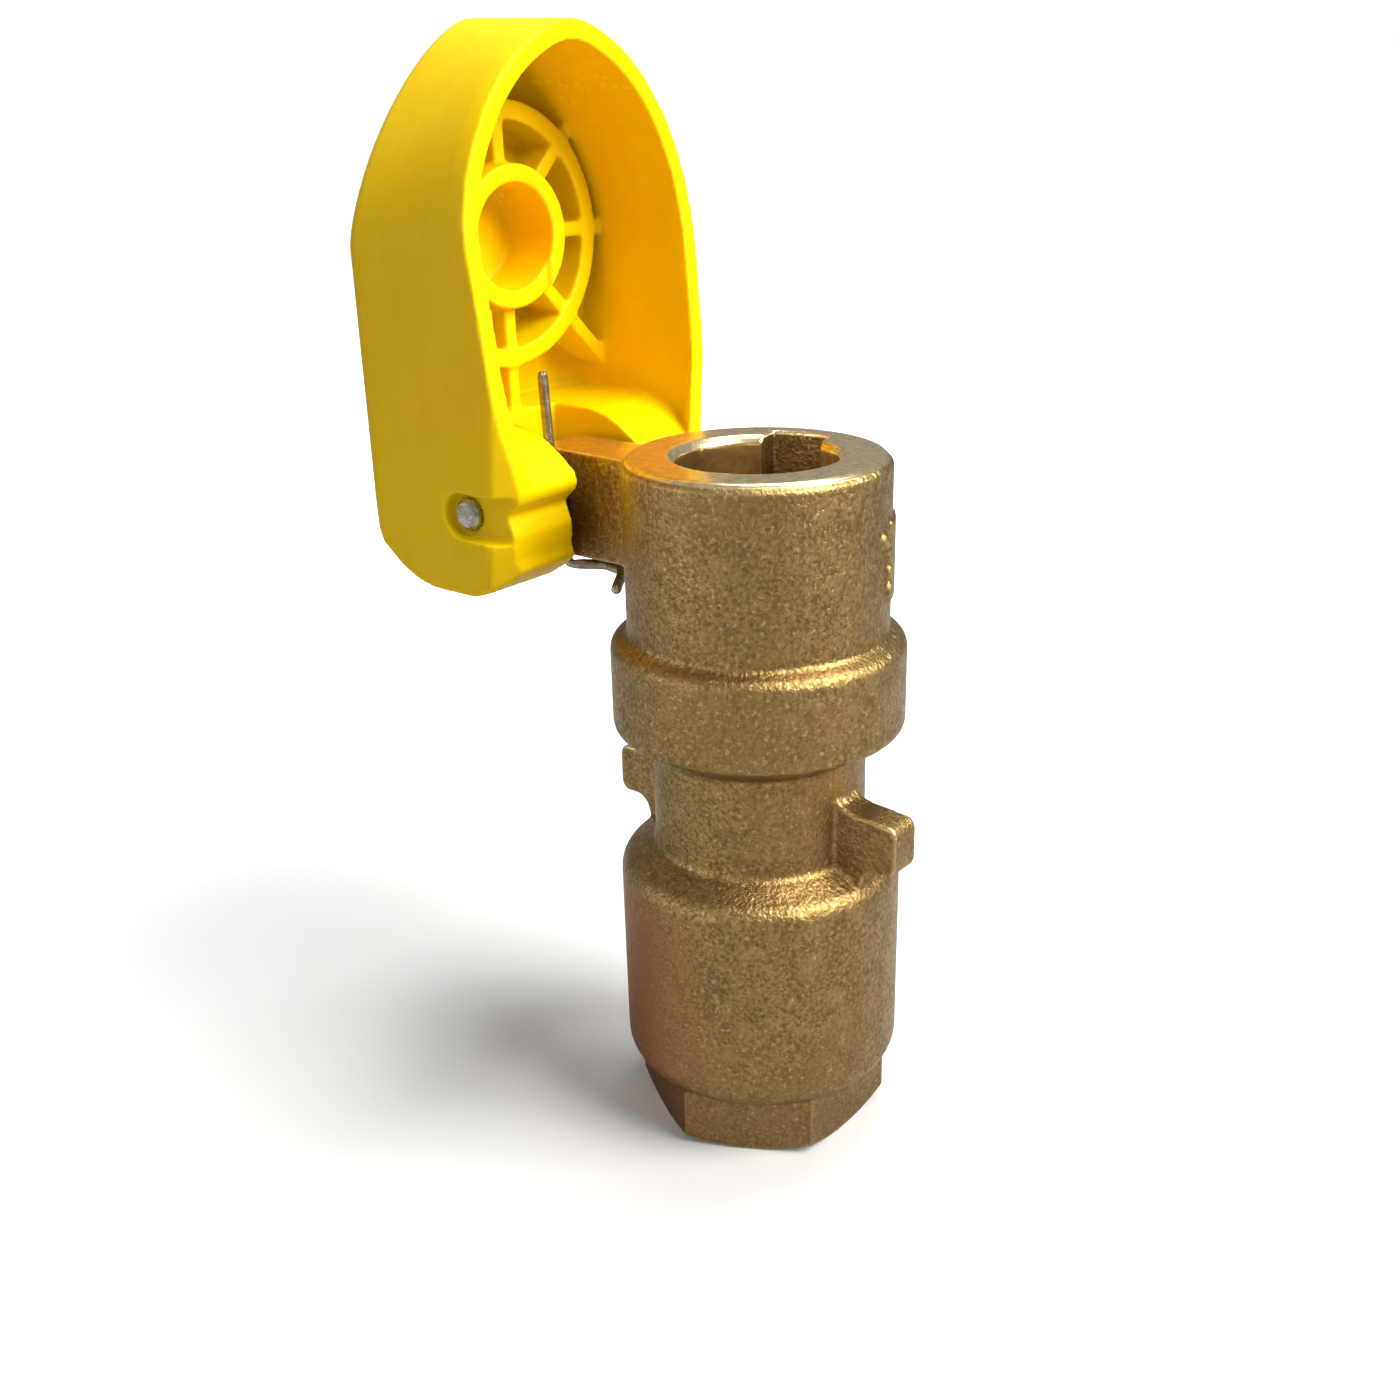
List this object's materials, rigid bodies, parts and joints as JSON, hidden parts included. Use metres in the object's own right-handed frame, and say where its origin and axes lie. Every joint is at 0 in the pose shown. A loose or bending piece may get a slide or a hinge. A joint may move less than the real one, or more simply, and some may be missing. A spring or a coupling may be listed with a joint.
{
  "type": "quick coupling valve",
  "caption": "Cast brass quick coupling valve with a female threaded inlet, key bore with slot, spring-loaded poppet and hinged protective cover.",
  "frame": {"origin": "centre of the inlet face, at the bottom of the wrench hex", "axes": "+Z along the valve axis towards the key opening, -X towards the hinge ear and the open cover, +Y towards the key slot"},
  "size_m": [0.0874, 0.0492, 0.1671],
  "materials": {
    "cast_brass": "tumbled sand-cast",
    "turned_brass": "turned",
    "yellow_cover": "satin moulded",
    "black_rubber": "moulded",
    "pin_steel": "cut wire",
    "spring_steel": "drawn wire"
  },
  "bodies": {
    "body": {"valve_body": "cast_brass", "key_seal": "black_rubber", "cover_spring": "spring_steel", "valve_spring": "spring_steel", "guide_spider": "turned_brass", "snap_ring": "spring_steel"},
    "cover": {"cover": "yellow_cover", "hinge_pin": "pin_steel"},
    "poppet": {"poppet": "turned_brass", "seat_washer": "black_rubber", "washer_retainer": "turned_brass", "retainer_nut": "turned_brass"}
  },
  "joints": [
    {"name": "cover_hinge", "type": "hinge", "parent": "body", "child": "cover", "pos_m": [-0.038, 0, 0.098], "axis": [0, 1, 0], "range_deg": [-15, 90], "deforming": ["cover_spring"]},
    {"name": "poppet_slide", "type": "slide", "parent": "body", "child": "poppet", "axis": [0, 0, -1], "range_m": [0, 0.0065], "deforming": ["valve_spring"]}
  ]
}
